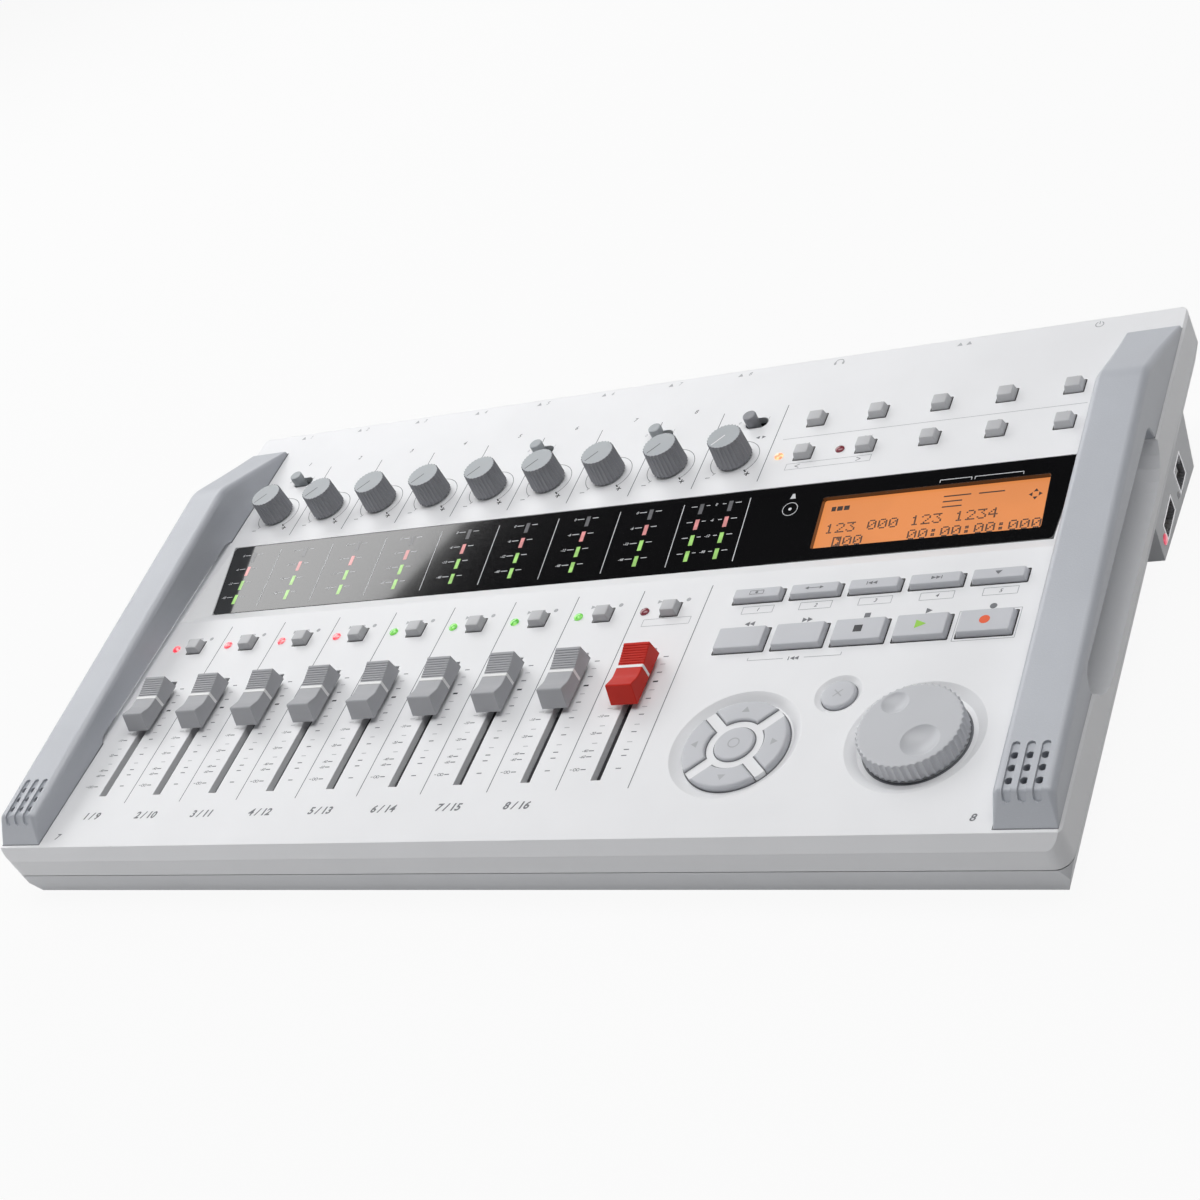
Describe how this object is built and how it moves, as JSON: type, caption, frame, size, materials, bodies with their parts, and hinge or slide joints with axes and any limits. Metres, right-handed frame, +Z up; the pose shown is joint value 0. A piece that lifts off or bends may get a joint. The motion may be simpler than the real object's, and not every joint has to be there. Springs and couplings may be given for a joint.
{
  "type": "digital multitrack recorder",
  "caption": "Desktop multitrack recorder with sloping panel, channel faders, gain knobs, keys, jog dial, tilted display and carrying rails with microphones.",
  "frame": {"origin": "on the table under the middle of the recorder's bounding box", "axes": "+X to the user's right along the longest side, +Y from the user to the rear, +Z up"},
  "size_m": [0.376, 0.2216, 0.0552],
  "materials": {
    "panel_white": "satin",
    "case_grey": "satin",
    "rail_grey": "fine texture",
    "window_black": "gloss",
    "display_orange": "gloss",
    "board_green": "satin",
    "socket_black": "satin",
    "socket_metal": "brushed",
    "fader_grey": "satin",
    "fader_red": "satin",
    "knob_grey": "satin",
    "key_grey": "satin",
    "lamp_red": "clear",
    "rubber_grey": "matte",
    "screw_steel": "blackened"
  },
  "bodies": {
    "case": {"top_case": "panel_white", "bottom_case": "case_grey", "rear_panel": "case_grey", "left_rail": "rail_grey", "right_rail": "rail_grey", "display_window": "window_black", "lcd_module": "display_orange", "meter_board": "board_green", "main_board": "board_green", "panel_board": "board_green", "input_jacks": "socket_black", "output_jacks": "socket_black", "power_inlet": "socket_black", "data_sockets": "socket_metal", "fader_units": "socket_metal", "level_pots": "socket_metal", "indicator_lamps": "lamp_red", "mic_capsules": "socket_metal", "rubber_feet": "rubber_grey", "case_screws": "screw_steel"},
    "jog_dial": {"jog_dial": "key_grey"},
    "battery_cover": {"battery_cover": "case_grey"},
    "fader_cap_1": {"fader_cap_1": "fader_grey"},
    "fader_cap_5": {"fader_cap_5": "fader_grey"},
    "master_fader_cap": {"master_fader_cap": "fader_red"},
    "gain_knob_1": {"gain_knob_1": "knob_grey"},
    "balance_knob": {"balance_knob": "knob_grey"},
    "power_switch": {"power_switch": "socket_black"},
    "phones_knob": {"phones_knob": "knob_grey"},
    "hi_z_switch": {"hi_z_switch": "knob_grey"},
    "phantom_switch_1": {"phantom_switch_1": "knob_grey"},
    "phantom_switch_2": {"phantom_switch_2": "knob_grey"},
    "monitor_switch": {"monitor_switch": "knob_grey"},
    "cursor_up": {"cursor_up": "key_grey"},
    "cursor_left": {"cursor_left": "key_grey"},
    "cursor_down": {"cursor_down": "key_grey"},
    "cursor_right": {"cursor_right": "key_grey"},
    "enter_key": {"enter_key": "key_grey"},
    "exit_key": {"exit_key": "key_grey"},
    "rewind_key": {"rewind_key": "key_grey"},
    "forward_key": {"forward_key": "key_grey"},
    "stop_key": {"stop_key": "key_grey"},
    "play_key": {"play_key": "key_grey"},
    "record_key": {"record_key": "key_grey"},
    "function_keys": {"function_keys": "key_grey"},
    "status_keys": {"status_keys": "key_grey"},
    "menu_keys": {"menu_keys": "key_grey"},
    "fader_cap_2": {"fader_cap_2": "fader_grey"},
    "fader_cap_3": {"fader_cap_3": "fader_grey"},
    "fader_cap_4": {"fader_cap_4": "fader_grey"},
    "fader_cap_6": {"fader_cap_6": "fader_grey"},
    "fader_cap_7": {"fader_cap_7": "fader_grey"},
    "fader_cap_8": {"fader_cap_8": "fader_grey"},
    "gain_knob_2": {"gain_knob_2": "knob_grey"},
    "gain_knob_3": {"gain_knob_3": "knob_grey"},
    "gain_knob_4": {"gain_knob_4": "knob_grey"},
    "gain_knob_5": {"gain_knob_5": "knob_grey"},
    "gain_knob_6": {"gain_knob_6": "knob_grey"},
    "gain_knob_7": {"gain_knob_7": "knob_grey"},
    "gain_knob_8": {"gain_knob_8": "knob_grey"}
  },
  "joints": [
    {"name": "jog_dial_turn", "type": "hinge", "parent": "case", "child": "jog_dial", "pos_m": [0.1403, -0.07488, 0.03036], "axis": [0, -0.108, 0.9942], "continuous": true},
    {"name": "battery_cover_slide", "type": "slide", "parent": "case", "child": "battery_cover", "axis": [0, 1, 0], "range_m": [0, 0.045]},
    {"name": "fader_cap_1_slide", "type": "slide", "parent": "case", "child": "fader_cap_1", "axis": [0, 0.9942, 0.108], "range_m": [-0.0355, 0.0095]},
    {"name": "fader_cap_5_slide", "type": "slide", "parent": "case", "child": "fader_cap_5", "axis": [0, 0.9942, 0.108], "range_m": [-0.0355, 0.0095]},
    {"name": "master_fader_cap_slide", "type": "slide", "parent": "case", "child": "master_fader_cap", "axis": [0, 0.9942, 0.108], "range_m": [-0.0355, 0.0095]},
    {"name": "gain_knob_1_turn", "type": "hinge", "parent": "case", "child": "gain_knob_1", "pos_m": [-0.1541, 0.05277, 0.04976], "axis": [0, -0.108, 0.9942], "range_deg": [-280, 0]},
    {"name": "balance_knob_turn", "type": "hinge", "parent": "case", "child": "balance_knob", "pos_m": [0.04326, 0.05277, 0.04976], "axis": [0, -0.108, 0.9942], "range_deg": [-280, 0]},
    {"name": "power_switch_slide", "type": "slide", "parent": "case", "child": "power_switch", "axis": [1, 0, 0], "range_m": [0, 0.004]},
    {"name": "phones_knob_turn", "type": "hinge", "parent": "case", "child": "phones_knob", "pos_m": [0.088, 0.11024, 0.03468], "axis": [0, 0.9942, 0.108], "range_deg": [-140, 140]},
    {"name": "hi_z_switch_slide", "type": "slide", "parent": "case", "child": "hi_z_switch", "axis": [1, 0, 0], "range_m": [0, 0.003]},
    {"name": "phantom_switch_1_slide", "type": "slide", "parent": "case", "child": "phantom_switch_1", "axis": [1, 0, 0], "range_m": [0, 0.003]},
    {"name": "phantom_switch_2_slide", "type": "slide", "parent": "case", "child": "phantom_switch_2", "axis": [1, 0, 0], "range_m": [0, 0.003]},
    {"name": "monitor_switch_slide", "type": "slide", "parent": "case", "child": "monitor_switch", "axis": [1, 0, 0], "range_m": [0, 0.003]},
    {"name": "cursor_up_slide", "type": "slide", "parent": "case", "child": "cursor_up", "axis": [0, -0.108, 0.9942], "range_m": [-0.0008, 0], "stiffness_N_per_m": 500},
    {"name": "cursor_left_slide", "type": "slide", "parent": "case", "child": "cursor_left", "axis": [0, -0.108, 0.9942], "range_m": [-0.0008, 0], "stiffness_N_per_m": 500},
    {"name": "cursor_down_slide", "type": "slide", "parent": "case", "child": "cursor_down", "axis": [0, -0.108, 0.9942], "range_m": [-0.0008, 0], "stiffness_N_per_m": 500},
    {"name": "cursor_right_slide", "type": "slide", "parent": "case", "child": "cursor_right", "axis": [0, -0.108, 0.9942], "range_m": [-0.0008, 0], "stiffness_N_per_m": 500},
    {"name": "enter_key_slide", "type": "slide", "parent": "case", "child": "enter_key", "axis": [0, -0.108, 0.9942], "range_m": [-0.0008, 0], "stiffness_N_per_m": 500},
    {"name": "exit_key_slide", "type": "slide", "parent": "case", "child": "exit_key", "axis": [0, -0.108, 0.9942], "range_m": [-0.0008, 0], "stiffness_N_per_m": 500},
    {"name": "rewind_key_slide", "type": "slide", "parent": "case", "child": "rewind_key", "axis": [0, -0.108, 0.9942], "range_m": [-0.0008, 0], "stiffness_N_per_m": 500},
    {"name": "forward_key_slide", "type": "slide", "parent": "case", "child": "forward_key", "axis": [0, -0.108, 0.9942], "range_m": [-0.0008, 0], "stiffness_N_per_m": 500},
    {"name": "stop_key_slide", "type": "slide", "parent": "case", "child": "stop_key", "axis": [0, -0.108, 0.9942], "range_m": [-0.0008, 0], "stiffness_N_per_m": 500},
    {"name": "play_key_slide", "type": "slide", "parent": "case", "child": "play_key", "axis": [0, -0.108, 0.9942], "range_m": [-0.0008, 0], "stiffness_N_per_m": 500},
    {"name": "record_key_slide", "type": "slide", "parent": "case", "child": "record_key", "axis": [0, -0.108, 0.9942], "range_m": [-0.0008, 0], "stiffness_N_per_m": 500},
    {"name": "function_keys_slide", "type": "slide", "parent": "case", "child": "function_keys", "axis": [0, -0.108, 0.9942], "range_m": [-0.0008, 0], "stiffness_N_per_m": 500},
    {"name": "status_keys_slide", "type": "slide", "parent": "case", "child": "status_keys", "axis": [0, -0.108, 0.9942], "range_m": [-0.0008, 0], "stiffness_N_per_m": 500},
    {"name": "menu_keys_slide", "type": "slide", "parent": "case", "child": "menu_keys", "axis": [0, -0.108, 0.9942], "range_m": [-0.0008, 0], "stiffness_N_per_m": 500},
    {"name": "fader_cap_2_slide", "type": "slide", "parent": "case", "child": "fader_cap_2", "axis": [0, 0.9942, 0.108], "range_m": [-0.0355, 0.0095]},
    {"name": "fader_cap_3_slide", "type": "slide", "parent": "case", "child": "fader_cap_3", "axis": [0, 0.9942, 0.108], "range_m": [-0.0355, 0.0095]},
    {"name": "fader_cap_4_slide", "type": "slide", "parent": "case", "child": "fader_cap_4", "axis": [0, 0.9942, 0.108], "range_m": [-0.0355, 0.0095]},
    {"name": "fader_cap_6_slide", "type": "slide", "parent": "case", "child": "fader_cap_6", "axis": [0, 0.9942, 0.108], "range_m": [-0.0355, 0.0095]},
    {"name": "fader_cap_7_slide", "type": "slide", "parent": "case", "child": "fader_cap_7", "axis": [0, 0.9942, 0.108], "range_m": [-0.0355, 0.0095]},
    {"name": "fader_cap_8_slide", "type": "slide", "parent": "case", "child": "fader_cap_8", "axis": [0, 0.9942, 0.108], "range_m": [-0.0355, 0.0095]},
    {"name": "gain_knob_2_turn", "type": "hinge", "parent": "case", "child": "gain_knob_2", "pos_m": [-0.12943, 0.05277, 0.04976], "axis": [0, -0.108, 0.9942], "range_deg": [-280, 0]},
    {"name": "gain_knob_3_turn", "type": "hinge", "parent": "case", "child": "gain_knob_3", "pos_m": [-0.10476, 0.05277, 0.04976], "axis": [0, -0.108, 0.9942], "range_deg": [-280, 0]},
    {"name": "gain_knob_4_turn", "type": "hinge", "parent": "case", "child": "gain_knob_4", "pos_m": [-0.08009, 0.05277, 0.04976], "axis": [0, -0.108, 0.9942], "range_deg": [-280, 0]},
    {"name": "gain_knob_5_turn", "type": "hinge", "parent": "case", "child": "gain_knob_5", "pos_m": [-0.05542, 0.05277, 0.04976], "axis": [0, -0.108, 0.9942], "range_deg": [-280, 0]},
    {"name": "gain_knob_6_turn", "type": "hinge", "parent": "case", "child": "gain_knob_6", "pos_m": [-0.03075, 0.05277, 0.04976], "axis": [0, -0.108, 0.9942], "range_deg": [-280, 0]},
    {"name": "gain_knob_7_turn", "type": "hinge", "parent": "case", "child": "gain_knob_7", "pos_m": [-0.00608, 0.05277, 0.04976], "axis": [0, -0.108, 0.9942], "range_deg": [-280, 0]},
    {"name": "gain_knob_8_turn", "type": "hinge", "parent": "case", "child": "gain_knob_8", "pos_m": [0.01859, 0.05277, 0.04976], "axis": [0, -0.108, 0.9942], "range_deg": [-280, 0]}
  ]
}
